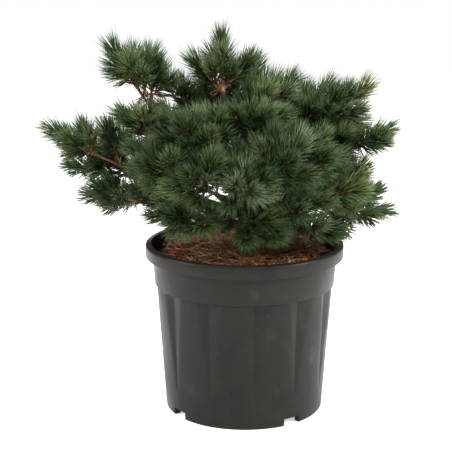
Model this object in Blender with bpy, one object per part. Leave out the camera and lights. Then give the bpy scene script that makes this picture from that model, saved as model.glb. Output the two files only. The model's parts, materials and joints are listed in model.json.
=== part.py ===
"""A dwarf Japanese white pine growing in a black plastic nursery pot.

Metres, +Z up. The origin is the middle of the pot's flat underside and the front is -Y. A bearing is an
angle in degrees round the upright axis: 0 at the front, 90 at +X, 180 at the back.
"""

import math

import bmesh
import bpy
import numpy as np

UP = np.array([0.0, 0.0, 1.0])
GAP = 0.0003  # clearance between two pieces that touch on the real plant

# The pot
POT_HEIGHT = 0.2735
RIM_RADIUS = 0.160
RIM_BAND = 0.0215  # height of the turned-out rim
RIM_LIP = 0.1503  # radius of the rim's inner edge
COLLAR_RADIUS = 0.1488  # just under the rim
COLLAR_FOOT_RADIUS = 0.1450
COLLAR_FOOT = 0.2068  # height of the collar's lower edge
BODY_RADIUS = 0.1426  # under the collar
FOOT_RADIUS = 0.1280
WALL = 0.0028
EDGE = 0.0012  # the moulding's small edge roundings
RIM_ROUND = 0.0052  # the rim's rounded shoulder
FLOOR = 0.018  # top of the pot's floor
CHANNEL_INNER, CHANNEL_OUTER = 0.086, 0.117  # drain channel in the underside
CHANNEL_HEIGHT = 0.0142

GROOVES = 12
PITCH = 360 / GROOVES
FIRST_FOLD = 6.4  # bearing of one groove's fold line
GROOVE_LEFT, GROOVE_RIGHT = 7.0, 10.3  # degrees from the fold line to the groove's edges, at the top
GROOVE_DEPTH = 0.0052
GROOVE_FOOT = 0.040  # height at which a groove runs out
GROOVE_TOP = COLLAR_FOOT - 0.002
NARROWEST = 0.25  # a groove's edges close up to this share of their width

NOTCHES = 4
FIRST_NOTCH = 36.4  # bearing
NOTCH_WIDTH = 0.030
NOTCH_HEIGHT = 0.0118

# The soil
SOIL_TOP = 0.2545
SOIL_EDGE = 0.2500  # height where it meets the wall
SOIL_COLUMNS = 24
HEAP = 0.0035  # how much the needle litter is heaped to the left and right

# The trunk
TRUNK_FOOT = np.array([0.004, 0.006, SOIL_TOP + GAP])
TRUNK_TIP = np.array([-0.036, 0.0, 0.514])
TRUNK_BOW = 0.010  # sideways bow of its middle
TRUNK_RADIUS, TRUNK_TIP_RADIUS = 0.0115, 0.0046
FLARE, FLARE_HEIGHT = 0.0075, 0.010  # root flare: extra radius at the soil, and how fast it dies away
FLARE_ROOTS = 5
TRUNK_SIDES = 15

# Limbs and shoots
LIMB_RADIUS, LIMB_GROWTH = 0.0020, 0.0110  # a limb's radius at the trunk: a base, plus this share of its length
TWIG_RADIUS = 0.0016
LIMB_BEND = 0.45  # share of a limb's length over which it turns to its final direction
SHOOT_LENGTH = (0.050, 0.070)
SIDE_PLACE = (0.12, 0.92)  # where a side shoot may leave its stem's twig, as a share of it
SIDE_TURN = 135  # degrees that it may be turned round the stem, either way from straight up
DIVERGE = (38, 52)  # degrees between a stem and its side shoot
UPTURN = 0.55  # how strongly a side shoot turns up to the light
TRIES = 24  # directions weighed for each side shoot
ROOM = 0.0145  # least distance between the shoots of two masses
LIMB_ROOM = 0.006  # least distance from a side shoot to the bark of the trunk and the boughs

# Needle sprays
SPRAY_LENGTH = 0.046  # how much of a shoot's end carries needles
CORE_RADIUS = 0.0056  # from a corner of its square section to its middle
CORE_SIDES = 4
NEEDLE_LENGTH = 0.040
BLADE_ROOT, BLADE_THICK = 0.0125, 0.0046  # a blade, a row of needles, at its root: along the core and across it
BLADE_FACES = ((0, 1, 2), (0, 3, 1), (1, 3, 2), (2, 3, 0))
ROOT_DEPTH = 0.36  # how far out of the core's middle a blade's root is sunk, as a share of the core's radius
WHORLS = ((0.17, 60), (0.52, 50), (0.86, 38))  # place in the spray and degrees off the shoot
BLADE_TURN, BLADE_LEAN = 16, 6  # degrees that a blade may stray round the shoot, and off its lean
BLADE_REACH = (0.92, 1.06)  # its length in needle lengths
END_REACH = 0.9  # the same of the point that the core ends in
SHORTER = (1.0, 0.8, 0.62)  # lengths tried before a blade is left out
BLADE_GAP, LIMB_GAP = 0.0012, 0.0006  # clearance of a blade to another mass's space, and to the bark

SEED = 17
OUTLINE_HEIGHT = 0.44  # masses with their bud above this make the crown's upper outline
HEADROOM = 0.030  # how far a side shoot of the lower masses may rise above its lead bud

# Each mass: bearing, reach and height of its lead bud, the bud's slope in degrees, the height at which its
# limb leaves the trunk, the share of the limb that is bare bough, and its side shoots.
MASSES = {
    "upper_left": (-90, 0.203, 0.576, 62, 0.345, 0.55, 4),
    "upper_left_inner": (-114, 0.146, 0.536, 62, 0.400, 0.0, 3),
    "left_front": (-66, 0.198, 0.484, 42, 0.365, 0.32, 3),
    "left_arm": (-84, 0.296, 0.455, 32, 0.322, 0.38, 4),
    "left_low": (-94, 0.273, 0.392, 6, 0.300, 0.38, 3),
    "left_foot": (-83, 0.240, 0.354, 4, 0.283, 0.34, 3),
    "left_front_low": (-46, 0.201, 0.423, 24, 0.335, 0.32, 4),
    "upper_front_left": (-35, 0.160, 0.479, 46, 0.388, 0.26, 3),
    "mid_front_left": (-23, 0.195, 0.412, 26, 0.318, 0.32, 3),
    "low_front_left": (-36, 0.173, 0.344, 4, 0.292, 0.30, 3),
    "upper_front": (-21, 0.118, 0.485, 52, 0.418, 0.0, 3),
    "mid_front": (-4, 0.191, 0.401, 14, 0.338, 0.32, 4),
    "low_front": (1, 0.155, 0.318, -12, 0.302, 0.28, 3),
    "right_front_low": (26, 0.178, 0.357, 4, 0.310, 0.32, 4),
    "mid_front_right": (20, 0.181, 0.432, 28, 0.362, 0.30, 4),
    "upper_front_right": (16, 0.104, 0.487, 50, 0.435, 0.0, 3),
    "upper_right": (90, 0.067, 0.527, 58, 0.462, 0.0, 3),
    "right_top_inner": (111, 0.138, 0.512, 52, 0.425, 0.0, 3),
    "right_top": (96, 0.186, 0.514, 46, 0.392, 0.32, 4),
    "right_arm": (87, 0.217, 0.453, 26, 0.356, 0.34, 4),
    "right_front": (42, 0.175, 0.432, 22, 0.346, 0.30, 3),
    "right_low_front": (59, 0.194, 0.378, 14, 0.326, 0.32, 3),
    "right_low": (85, 0.216, 0.328, 2, 0.298, 0.34, 3),
    "right_foot": (70, 0.149, 0.301, -8, 0.284, 0.0, 2),
    "back_top": (175, 0.110, 0.545, 60, 0.448, 0.0, 3),
    "back_left": (-138, 0.205, 0.465, 36, 0.372, 0.32, 4),
    "back_right": (138, 0.200, 0.460, 36, 0.378, 0.32, 4),
    "back": (178, 0.215, 0.430, 28, 0.350, 0.32, 4),
    "back_low_left": (-122, 0.215, 0.365, 12, 0.312, 0.32, 4),
    "back_low_right": (122, 0.200, 0.355, 12, 0.316, 0.32, 4),
    "back_low": (172, 0.190, 0.330, 0, 0.292, 0.32, 3),
}
# The leader stands on the trunk's own tip.
LEADER_BUD = np.array([-0.037, 0.0, 0.590])
LEADER_SHOOTS = ((0.06, -90), (0.10, 80))  # place on its stem and bearing of its two side shoots
LEADER_SIDE = 0.056  # length of those


# Helpers


def place(bearing, reach, height):
    """The point at this bearing, distance from the upright axis and height."""
    angle = math.radians(bearing)
    return np.array([reach * math.sin(angle), -reach * math.cos(angle), height])


def unit(vector):
    return vector / np.linalg.norm(vector)


def plain_material(name, colour, roughness):
    made = bpy.data.materials.new(name)
    made.use_nodes = True
    shader = made.node_tree.nodes["Principled BSDF"]
    shader.inputs["Base Color"].default_value = (*colour, 1.0)
    shader.inputs["Roughness"].default_value = roughness
    made.diffuse_color = (*colour, 1.0)
    return made


def solid(name, points, faces, finish, collection=None):
    """A closed mesh object with its faces turned outwards."""
    mesh = bpy.data.meshes.new(name)
    mesh.from_pydata([tuple(p) for p in points], [], faces)
    work = bmesh.new()
    work.from_mesh(mesh)
    bmesh.ops.recalc_face_normals(work, faces=work.faces)
    work.to_mesh(mesh)
    work.free()
    mesh.materials.append(finish)
    made = bpy.data.objects.new(name, mesh)
    (collection or bpy.context.scene.collection).objects.link(made)
    return made


def skin_faces(rings, columns):
    """Quads between neighbouring rings of points, and a cap on the first and the last ring."""
    faces = [tuple(range(columns))[::-1]]
    for ring in range(rings - 1):
        low, high = ring * columns, (ring + 1) * columns
        for k in range(columns):
            after = (k + 1) % columns
            faces.append((low + k, low + after, high + after, high + k))
    faces.append(tuple(range((rings - 1) * columns, rings * columns)))
    return faces


def frames(path, first_plane=None):
    """For each point of a path, the direction along it and two directions square to that, without twist."""
    tangents = np.gradient(path, axis=0)
    side = first_plane[0] if first_plane is not None else np.cross(tangents[0], UP + np.array([0.05, 0, 0]))
    found = []
    for tangent in tangents:
        along = unit(tangent)
        side = unit(side - along * (side @ along))
        found.append((along, side, np.cross(along, side)))
    return found


def tube(path, radii, sides, first_plane=None, tip=None):
    """Points and faces of a tapering limb along a path. first_plane gives the two directions that its
    first ring lies in. With a tip the limb ends in that point, and otherwise in a flat end."""
    turns = np.arange(sides) * 2 * math.pi / sides
    rings = []
    for k, (_, across, rise) in enumerate(frames(path, first_plane)):
        if k == 0 and first_plane is not None:
            across, rise = first_plane
        rings.append(path[k] + radii[k] * (np.outer(np.cos(turns), across) + np.outer(np.sin(turns), rise)))
    points, faces = np.concatenate(rings), skin_faces(len(path), sides)
    if tip is None:
        return points, faces
    last = (len(path) - 1) * sides
    fan = [(last + k, last + (k + 1) % sides, len(points)) for k in range(sides)]
    return np.vstack([points, tip]), faces[:-1] + fan


def bezier(start, bend, end, shares):
    """Points of the curve (1-t)^2 start + 2t(1-t) bend + t^2 end."""
    t = np.asarray(shares, float)[:, None]
    return (1 - t) ** 2 * start + 2 * t * (1 - t) * bend + t**2 * end


def join(body, pieces):
    """One Boolean union of the body with every object in the collection, applied, and the pieces removed."""
    cut = body.modifiers.new("join", "BOOLEAN")
    cut.operation = "UNION"
    cut.operand_type = "COLLECTION"
    cut.collection = pieces
    cut.solver = "EXACT"
    bpy.context.view_layer.update()
    graph = bpy.context.evaluated_depsgraph_get()
    fused = bpy.data.meshes.new_from_object(body.evaluated_get(graph))
    body.modifiers.clear()
    body.data = fused
    for piece in list(pieces.objects):
        bpy.data.objects.remove(piece)
    bpy.data.collections.remove(pieces)


# The pot


def pot_ring(radius, height, grooved=True):
    """One level of the pot's wall: four points to a groove, its fold drawn in by its depth at this height."""
    share = (height - GROOVE_FOOT) / (GROOVE_TOP - GROOVE_FOOT) if grooved else 0.0
    share = min(max(share, 0.0), 1.0)
    wide = max(share, NARROWEST) if grooved else 1.0
    left, right = -GROOVE_LEFT * wide, GROOVE_RIGHT * wide
    between = (right + PITCH + left) / 2
    level = []
    for groove in range(GROOVES):
        for offset, depth in ((left, 0), (0, 1), (right, 0), (between, 0)):
            bearing = FIRST_FOLD + groove * PITCH + offset
            level.append(place(bearing, radius - depth * share * GROOVE_DEPTH, height))
    return level


def pot(finish):
    """The turned shell, from the middle of its underside out, up, over the rim, down inside and to the floor."""
    rim_foot = POT_HEIGHT - RIM_BAND
    inside = BODY_RADIUS - WALL
    foot_slope = (BODY_RADIUS - FOOT_RADIUS) / GROOVE_TOP
    runs_out = FOOT_RADIUS + foot_slope * GROOVE_FOOT
    levels = [
        pot_ring(CHANNEL_INNER, 0, False),
        pot_ring(CHANNEL_INNER, CHANNEL_HEIGHT, False),
        pot_ring(CHANNEL_OUTER, CHANNEL_HEIGHT, False),
        pot_ring(CHANNEL_OUTER, 0, False),
        pot_ring(FOOT_RADIUS - EDGE, 0, False),
        pot_ring(runs_out, GROOVE_FOOT),
        pot_ring(BODY_RADIUS, GROOVE_TOP),
        pot_ring(COLLAR_FOOT_RADIUS, COLLAR_FOOT, False),
        pot_ring(COLLAR_RADIUS, rim_foot, False),
        pot_ring(RIM_RADIUS, rim_foot + EDGE, False),
        pot_ring(RIM_RADIUS, POT_HEIGHT - 1.5 * RIM_ROUND, False),
        pot_ring(RIM_RADIUS - 0.3 * RIM_ROUND, POT_HEIGHT - 0.5 * RIM_ROUND, False),
        pot_ring(RIM_RADIUS - RIM_ROUND, POT_HEIGHT, False),
        pot_ring(RIM_LIP, POT_HEIGHT - EDGE, False),
        pot_ring(COLLAR_RADIUS - WALL, rim_foot, False),
        pot_ring(inside, GROOVE_TOP - WALL),
        pot_ring(runs_out - WALL, GROOVE_FOOT),
        pot_ring(FOOT_RADIUS + foot_slope * FLOOR - WALL, FLOOR, False),
    ]
    columns = len(levels[0])
    made = solid("pot", np.concatenate(levels), skin_faces(len(levels), columns), finish)
    for k in range(NOTCHES):
        bearing = FIRST_NOTCH + k * 360 / NOTCHES
        bpy.ops.mesh.primitive_cube_add(size=1)
        cutter = bpy.context.object
        cutter.name = f"notch_cutter_{k + 1}"
        cutter.scale = (NOTCH_WIDTH, 0.030, 2 * NOTCH_HEIGHT)
        cutter.location = place(bearing, (CHANNEL_OUTER + FOOT_RADIUS) / 2 + 0.002, 0)
        cutter.rotation_euler = (0, 0, math.radians(bearing))
        cutter.hide_render = True
        cutter.display_type = "WIRE"
        cut = made.modifiers.new(f"notch {k + 1}", "BOOLEAN")
        cut.operation = "DIFFERENCE"
        cut.solver = "EXACT"
        cut.object = cutter
    return made


def soil(finish):
    """The potting soil: a turned plug that clears the wall, heaped a little to the left and the right."""
    clear = 0.0011  # the wall is many-sided, so its flats stand inside its circle
    levels = [
        (FOOT_RADIUS - WALL - clear, FLOOR + GAP),
        (FOOT_RADIUS - WALL - clear, GROOVE_FOOT),
        (BODY_RADIUS - WALL - GROOVE_DEPTH - clear, GROOVE_TOP - WALL),
        (COLLAR_RADIUS - WALL - clear, SOIL_EDGE),
        (0.100, SOIL_TOP - 0.0005),
        (0.036, SOIL_TOP),
    ]
    points = []
    for k, (radius, height) in enumerate(levels):
        for bearing in np.arange(SOIL_COLUMNS) * 360 / SOIL_COLUMNS:
            heaped = HEAP * (1 - math.cos(2 * math.radians(bearing))) / 2 if k == len(levels) - 2 else 0
            points.append(place(bearing, radius, height + heaped))
    return solid("soil", points, skin_faces(len(levels), SOIL_COLUMNS), finish)


# The trunk and the limbs


def trunk_centre(height):
    """The trunk's axis at this height: a straight lean with a bow to the right in its middle."""
    share = (height - TRUNK_FOOT[2]) / (TRUNK_TIP[2] - TRUNK_FOOT[2])
    bow = TRUNK_BOW * math.sin(math.pi * share)
    return TRUNK_FOOT + (TRUNK_TIP - TRUNK_FOOT) * share + np.array([bow, -bow * 0.4, 0])


def trunk_radius(height):
    share = (height - TRUNK_FOOT[2]) / (TRUNK_TIP[2] - TRUNK_FOOT[2])
    return TRUNK_RADIUS + (TRUNK_TIP_RADIUS - TRUNK_RADIUS) * share


def flare(height):
    """How far the root flare spreads at this height, without its roots' ridges."""
    return FLARE * math.exp(-(height - TRUNK_FOOT[2]) / FLARE_HEIGHT)


def trunk_surface(height, turn):
    """The trunk's radius at this height and turn, with the flare of its roots."""
    return trunk_radius(height) + flare(height) * (1 + 0.5 * math.cos(FLARE_ROOTS * turn))


def trunk(finish):
    """One tapering stem from the soil to its fork, its foot spread by a few roots."""
    foot = TRUNK_FOOT[2] + np.array([0, 0.005, 0.012, 0.024])
    heights = np.concatenate([foot, np.linspace(0.31, TRUNK_TIP[2], 7)])
    points = []
    for height in heights:
        for turn in np.arange(TRUNK_SIDES) * 2 * math.pi / TRUNK_SIDES:
            radius = trunk_surface(height, turn)
            points.append(trunk_centre(height) + radius * np.array([math.cos(turn), math.sin(turn), 0]))
    return solid("trunk", points, skin_faces(len(heights), TRUNK_SIDES), finish)


def limb_curve(row):
    """A limb's start, bend and end, the plane of its root against the trunk, and its radius there."""
    bearing, reach, height, slope, leaves = row[:5]
    bud = place(bearing, reach, height)
    axis = trunk_centre(leaves)
    trunk_rise = unit(trunk_centre(leaves + 0.01) - trunk_centre(leaves - 0.01))
    outward = bud - axis
    outward = unit(outward - trunk_rise * (outward @ trunk_rise))
    start = axis + outward * (trunk_surface(leaves, math.atan2(outward[1], outward[0])) + GAP)
    heading = unit(np.array([outward[0], outward[1], 0]))
    final = heading * math.cos(math.radians(slope)) + UP * math.sin(math.radians(slope))
    length = np.linalg.norm(bud - start)
    bend = bud - final * length * LIMB_BEND
    plane = (unit(np.cross(trunk_rise, outward)), trunk_rise)
    return start, bend, bud, plane, LIMB_RADIUS + LIMB_GROWTH * length


def limb_radius(root_radius, share):
    """A limb tapers from its root to the twig's thickness at its bud."""
    return TWIG_RADIUS + (root_radius - TWIG_RADIUS) * (1 - np.asarray(share)) ** 1.3


def path_length(path):
    return np.linalg.norm(np.diff(path, axis=0), axis=1).sum()


def shoot(path, radii, plane=None):
    """A shoot as its path, with the last stretch straight: that is the core its needles stand out of. The
    shoot swells from a twig to the core where the needles start."""
    start = 1 - min(SPRAY_LENGTH / path_length(path), 0.8)
    shares = np.linspace(0, 1, len(path))
    at = np.append(np.linspace(0, start - 0.06, max(2, len(path) - 3)), [start, 1.0])
    line = np.stack([np.interp(at, shares, path[:, k]) for k in range(3)], axis=1)
    thick = np.interp(at, shares, radii)
    thick[-2:] = CORE_RADIUS, CORE_RADIUS * 0.9
    return {"path": line, "radii": thick, "plane": plane}


def lead_shoot(row):
    """The stem of a mass: its limb's path from the end of the bare bough to the lead bud."""
    start, bend, bud, plane, root = limb_curve(row)
    bare = row[5]
    length = path_length(bezier(start, bend, bud, np.linspace(0, 1, 20)))
    shares = np.linspace(bare + GAP / length if bare else 0.0, 1, 8 if bare else 9)
    return shoot(bezier(start, bend, bud, shares), limb_radius(root, shares), None if bare else plane)


def leader_shoot():
    """The stem of the leader's mass, which stands on the trunk's flat tip."""
    foot = TRUNK_TIP + UP * GAP
    bend = (foot + LEADER_BUD) / 2 + np.array([0.003, 0, 0])
    level = (np.array([1.0, 0, 0]), np.array([0, 1.0, 0]))
    path = bezier(foot, bend, LEADER_BUD, np.linspace(0, 1, 6))
    return shoot(path, np.linspace(TRUNK_TIP_RADIUS - 0.0006, TWIG_RADIUS, 6), level)


def side_shoot(stem, share, direction, length):
    """A side shoot: it leaves the stem's twig in this direction and turns up towards the light."""
    foot, _ = twig_point(stem, share)
    tip_direction = unit(direction + UP * UPTURN)
    bend = foot + direction * length / 2
    curve = bezier(foot, bend, bend + tip_direction * length / 2, np.linspace(0, 1, 5))
    return shoot(curve, np.linspace(TWIG_RADIUS * 1.2, TWIG_RADIUS, 5))


def twig_point(stem, share):
    """The point at this share of the stem's bare twig, before its core, and the direction there."""
    path = stem["path"][:-1]
    spot = share * (len(path) - 1)
    k = min(int(spot), len(path) - 2)
    return path[k] + (path[k + 1] - path[k]) * (spot - k), unit(path[k + 1] - path[k])


def side_direction(stem, share, turn, diverge):
    """The direction at this angle off the stem, turned round it from straight up."""
    _, along = twig_point(stem, share)
    side = unit(np.cross(along, UP + np.array([0.05, 0, 0])))
    lift = np.cross(side, along)
    turn, diverge = math.radians(turn), math.radians(diverge)
    return unit(along * math.cos(diverge) + (lift * math.cos(turn) + side * math.sin(turn)) * math.sin(diverge))


def nearest(points, others):
    """For each point, its distance to the nearest of the others."""
    return np.linalg.norm(points[:, None] - others[None], axis=2).min(axis=1)


def dense(path, step=0.005):
    """Points every few millimetres along a path."""
    found = [path[:1]]
    for a, b in zip(path[:-1], path[1:]):
        count = max(1, int(np.linalg.norm(b - a) / step))
        found.append(a + (b - a) * (np.arange(1, count + 1) / count)[:, None])
    return np.concatenate(found)


def limb_spheres():
    """Points down the middle of the trunk and of every bough, with the radius at each."""
    heights = np.arange(TRUNK_FOOT[2], TRUNK_TIP[2], 0.004)
    centres = [np.array([trunk_centre(h) for h in heights])]
    radii = [np.array([trunk_radius(h) + flare(h) for h in heights])]
    for row in MASSES.values():
        if row[5]:
            start, bend, bud, _, root = limb_curve(row)
            shares = np.linspace(0, row[5], 30)
            centres.append(bezier(start, bend, bud, shares))
            radii.append(limb_radius(root, shares))
    return np.concatenate(centres), np.concatenate(radii)


def over_the_pot(points):
    """Whether every point is above the rim, or above the soil inside it, or out past the rim."""
    reach = np.hypot(points[:, 0], points[:, 1])
    above = points[:, 2] > POT_HEIGHT + 0.002
    inside = (reach < RIM_LIP - 0.012) & (points[:, 2] > SOIL_TOP + HEAP + 0.004)
    outside = (reach > RIM_RADIUS + 0.004) & (points[:, 2] > POT_HEIGHT - RIM_BAND)
    return bool((above | inside | outside).all())


def all_points(axes, besides, step=0.005):
    """Points along the shoots of every mass but this one."""
    return np.concatenate([dense(each["path"], step) for name in axes if name != besides for each in axes[name]])


def grow_shoots(limbs, limb_radii):
    """The shoots of every mass: its stem first, then its side shoots, mass by mass in turn. Each side
    shoot weighs some seeded directions and takes the one whose end has the most room round it."""
    draw = np.random.default_rng(SEED)
    axes = {"leader": [leader_shoot()]}
    axes.update({name: [lead_shoot(row)] for name, row in MASSES.items()})
    for share, bearing in LEADER_SHOOTS:
        direction = unit(place(bearing, 1, 0.75))
        axes["leader"].append(side_shoot(axes["leader"][0], share, direction, LEADER_SIDE))
    for turn in range(max(row[6] for row in MASSES.values())):
        for name, row in MASSES.items():
            if turn >= row[6]:
                continue
            stem = axes[name][0]
            own = np.concatenate([dense(axis["path"]) for axis in axes[name]])
            rest = all_points(axes, name)
            best, best_room = None, 0.0
            for _ in range(TRIES):
                share = draw.uniform(*SIDE_PLACE)
                turned = draw.uniform(-SIDE_TURN, SIDE_TURN)
                direction = side_direction(stem, share, turned, draw.uniform(*DIVERGE))
                made = side_shoot(stem, share, direction, draw.uniform(*SHOOT_LENGTH))
                line = dense(made["path"])
                outer = line[len(line) // 2 :]
                reach = outer[-1] + unit(outer[-1] - outer[0]) * NEEDLE_LENGTH * 0.5
                limb_room = (np.linalg.norm(line[:, None] - limbs[None], axis=2) - limb_radii[None]).min()
                others = nearest(line, rest).min()
                if limb_room < LIMB_ROOM or others < ROOM or not over_the_pot(np.vstack([outer, reach])):
                    continue
                headroom = 0 if row[2] > OUTLINE_HEIGHT else HEADROOM
                if line[-1][2] > row[2] + headroom or math.hypot(line[-1][0], line[-1][1]) > row[1]:
                    continue
                room = min(nearest(outer, rest).min(), nearest(outer[-2:], own).min() * 1.1)
                if room > best_room:
                    best, best_room = made, room
            if best is not None:
                axes[name].append(best)
    return axes


# The masses of needles


def blade(root, tip, along):
    """A three-sided blade: its root is a long triangle sunk in the core, its point is the needles' end."""
    across = unit(np.cross(along, tip - root)) * BLADE_THICK / 2
    back, front = root - along * BLADE_ROOT / 2, root + along * BLADE_ROOT / 2
    return np.vstack([back - across, back + across, front, tip]), BLADE_FACES


def blades(axis, draw):
    """Root and reach of each blade of one spray: pairs on opposite flats of the core, each pair square to
    the last and leaning further forward."""
    low, high = axis["path"][-2:]
    along, across, rise = frames(axis["path"], axis["plane"])[-1]
    found = []
    for k, (spot, lean) in enumerate(WHORLS):
        for side in (0, 1):
            turn = math.radians(45 + 90 * (k % 2) + 180 * side)
            out = across * math.cos(turn) + rise * math.sin(turn)
            root = low + (high - low) * spot + out * CORE_RADIUS * ROOT_DEPTH
            turn += math.radians(draw.uniform(-BLADE_TURN, BLADE_TURN))
            off = math.radians(lean + draw.uniform(-BLADE_LEAN, BLADE_LEAN))
            out = across * math.cos(turn) + rise * math.sin(turn)
            reach = along * math.cos(off) + out * math.sin(off)
            found.append((root, unit(reach) * NEEDLE_LENGTH * draw.uniform(*BLADE_REACH)))
    return found


def longest_fit(root, reach, fits):
    """The blade's tip at the greatest length that fits, or None."""
    for shorter in SHORTER:
        if fits(root, root + reach * shorter):
            return root + reach * shorter
    return None


def space_test(own, rest, limbs, limb_radii):
    """A test of whether a blade keeps to its mass's space: nearer to the mass's own shoots than to any other
    mass's by more than its width, and clear of every limb and of the pot."""

    def fits(root, tip):
        shares = np.linspace(0.2, 1, 7)
        points = root + np.outer(shares, tip - root)
        half = BLADE_ROOT / 3 * (1 - shares)
        if (nearest(points, rest) - nearest(points, own) < 2 * half + BLADE_GAP).any():
            return False
        clear = np.linalg.norm(points[:, None] - limbs[None], axis=2) - limb_radii[None] - half[:, None]
        return clear.min() > LIMB_GAP and over_the_pot(points)

    return fits


def mass(name, shoots, rest, limbs, limb_radii, finish, draw):
    """One mass as one closed body: its stem, side shoots and blades, fused."""
    pieces = bpy.data.collections.new(f"{name} pieces")
    bpy.context.scene.collection.children.link(pieces)
    fits = space_test(np.concatenate([dense(each["path"], 0.003) for each in shoots]), rest, limbs, limb_radii)
    made = []
    for axis in shoots:
        bud = axis["path"][-1]
        along = unit(bud - axis["path"][-2])
        end = longest_fit(bud, along * NEEDLE_LENGTH * END_REACH, fits)
        points, faces = tube(axis["path"], axis["radii"], CORE_SIDES, axis["plane"], end)
        made.append(solid(f"mass_{name}", points, faces, finish, pieces if made else None))
        for root, reach in blades(axis, draw):
            tip = longest_fit(root, reach, fits)
            if tip is not None:
                solid("blade", *blade(root, tip, along), finish, pieces)
    join(made[0], pieces)
    return made[0]


def bough(name, row, finish):
    """The bare part of a limb, from its root against the trunk to the point where it enters its mass."""
    start, bend, bud, plane, root = limb_curve(row)
    shares = np.linspace(0, row[5], 5)
    path = bezier(start, bend, bud, shares)
    return solid(f"bough_{name}", *tube(path, limb_radius(root, shares), 6, plane), finish)


def shade(made):
    """Smooth shading with the creases kept."""
    made.data.shade_smooth()
    made.data.set_sharp_from_angle(angle=math.radians(40))


def build():
    for old in list(bpy.data.objects):
        bpy.data.objects.remove(old, do_unlink=True)
    plastic = plain_material("pot plastic", (0.045, 0.043, 0.041), 0.48)
    earth = plain_material("soil and needle litter", (0.16, 0.075, 0.035), 0.95)
    bark = plain_material("bark", (0.23, 0.15, 0.095), 0.85)
    needles = plain_material("needles", (0.09, 0.16, 0.085), 0.6)
    made = [pot(plastic), soil(earth), trunk(bark)]
    made += [bough(name, row, bark) for name, row in MASSES.items() if row[5]]
    limbs, limb_radii = limb_spheres()
    axes = grow_shoots(limbs, limb_radii)
    draw = np.random.default_rng(SEED + 1)
    for name, shoots in axes.items():
        made.append(mass(name, shoots, all_points(axes, name, 0.003), limbs, limb_radii, needles, draw))
    for each in made:
        shade(each)


build()
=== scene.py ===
# %% [markdown]
# # A dwarf Japanese white pine in its nursery pot
# The plant and its pot are dressed here over a fixed frame of plain solids. Each step replaces some of those
# solids by the surface that the real thing shows: moulded plastic, needle litter, bark, twigs and needles.
# Lengths are metres, +Z is up, the front is -Y, and a bearing is in degrees round the upright axis, 0 at the
# front and 90 at +X.

import collections
import json
import math

import bmesh
import bpy
import numpy as np
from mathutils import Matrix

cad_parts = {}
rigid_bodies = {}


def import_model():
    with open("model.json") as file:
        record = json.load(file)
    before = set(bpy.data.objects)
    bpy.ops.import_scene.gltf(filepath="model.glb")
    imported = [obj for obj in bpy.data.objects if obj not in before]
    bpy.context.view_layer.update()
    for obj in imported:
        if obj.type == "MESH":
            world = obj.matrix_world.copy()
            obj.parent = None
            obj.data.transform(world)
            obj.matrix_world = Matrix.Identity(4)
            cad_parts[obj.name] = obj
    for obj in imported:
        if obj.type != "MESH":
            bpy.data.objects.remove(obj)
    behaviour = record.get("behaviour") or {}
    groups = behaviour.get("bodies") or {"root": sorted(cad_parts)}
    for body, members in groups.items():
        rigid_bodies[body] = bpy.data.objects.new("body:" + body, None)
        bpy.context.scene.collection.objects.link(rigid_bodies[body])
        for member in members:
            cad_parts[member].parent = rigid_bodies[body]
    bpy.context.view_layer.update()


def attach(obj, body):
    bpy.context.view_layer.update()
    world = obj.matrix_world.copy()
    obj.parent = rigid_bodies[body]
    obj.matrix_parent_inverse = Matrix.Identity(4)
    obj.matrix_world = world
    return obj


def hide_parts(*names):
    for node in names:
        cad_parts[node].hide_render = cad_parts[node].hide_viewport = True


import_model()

# %% [markdown]
# ## Camera, floor and light
# The photograph looks slightly down on the plant with a long lens, in a white studio. The floor is a wide
# disc that glows more, the further it is from the pot, so that it runs into the white behind it from every
# side. The world looks white and gives little light: most comes from wide lamps all round.

# %% Nodes, meshes and pieces
WHITE = (1, 1, 1, 1)


def node(tree, kind, settings=(), **inputs):
    """A node with these settings and input values. A socket given as a value is linked."""
    made = tree.nodes.new(kind)
    for key, value in dict(settings).items():
        setattr(made, key, value)
    for key, value in inputs.items():
        socket = made.inputs[key.replace("_", " ")]
        if isinstance(value, bpy.types.NodeSocket):
            tree.links.new(value, socket)
        else:
            socket.default_value = value
    return made


def mesh_of(name, points, faces):
    """A mesh from arrays: points (n, 3) and faces (m, 3 or 4) of point numbers, put in with foreach_set."""
    points, faces = np.asarray(points, np.float32), np.asarray(faces, np.int32)
    mesh = bpy.data.meshes.new(name)
    mesh.vertices.add(len(points))
    mesh.vertices.foreach_set("co", points.ravel())
    mesh.loops.add(faces.size)
    mesh.loops.foreach_set("vertex_index", faces.ravel())
    mesh.polygons.add(len(faces))
    mesh.polygons.foreach_set("loop_start", np.arange(0, faces.size, faces.shape[1], dtype=np.int32))
    mesh.update(calc_edges=True)
    mesh.validate()
    return mesh


def linked(name, mesh, finishes):
    """An object at the origin that holds this mesh and these materials."""
    mesh.materials.clear()
    for each in finishes:
        mesh.materials.append(each)
    made = bpy.data.objects.new(name, mesh)
    bpy.context.scene.collection.objects.link(made)
    print(name, len(mesh.polygons), "faces")
    return made


def fitted(made, nodes=()):
    """The piece rides the one body and stands for these nodes, which it hides."""
    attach(made, "root")
    if nodes:
        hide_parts(*nodes)
    return made


def smooth_piece(name, surface, skin, nodes=()):
    """A smoothly shaded piece of one skin, from its points and faces."""
    made = linked(name, mesh_of(name, *surface), [skin])
    made.data.shade_smooth()
    return fitted(made, nodes)


def lattice(rows, columns):
    """Quads between the neighbours of a grid of points that is closed round its columns."""
    row, column = np.meshgrid(np.arange(rows - 1), np.arange(columns), indexing="ij")
    below, above = row * columns, (row + 1) * columns
    after = (column + 1) % columns
    quads = [below + column, below + after, above + after, above + column]
    return np.stack(quads, axis=-1).reshape(-1, 4)


def turns(count):
    """Angles evenly round a circle."""
    return np.arange(count) * 2 * math.pi / count


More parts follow.
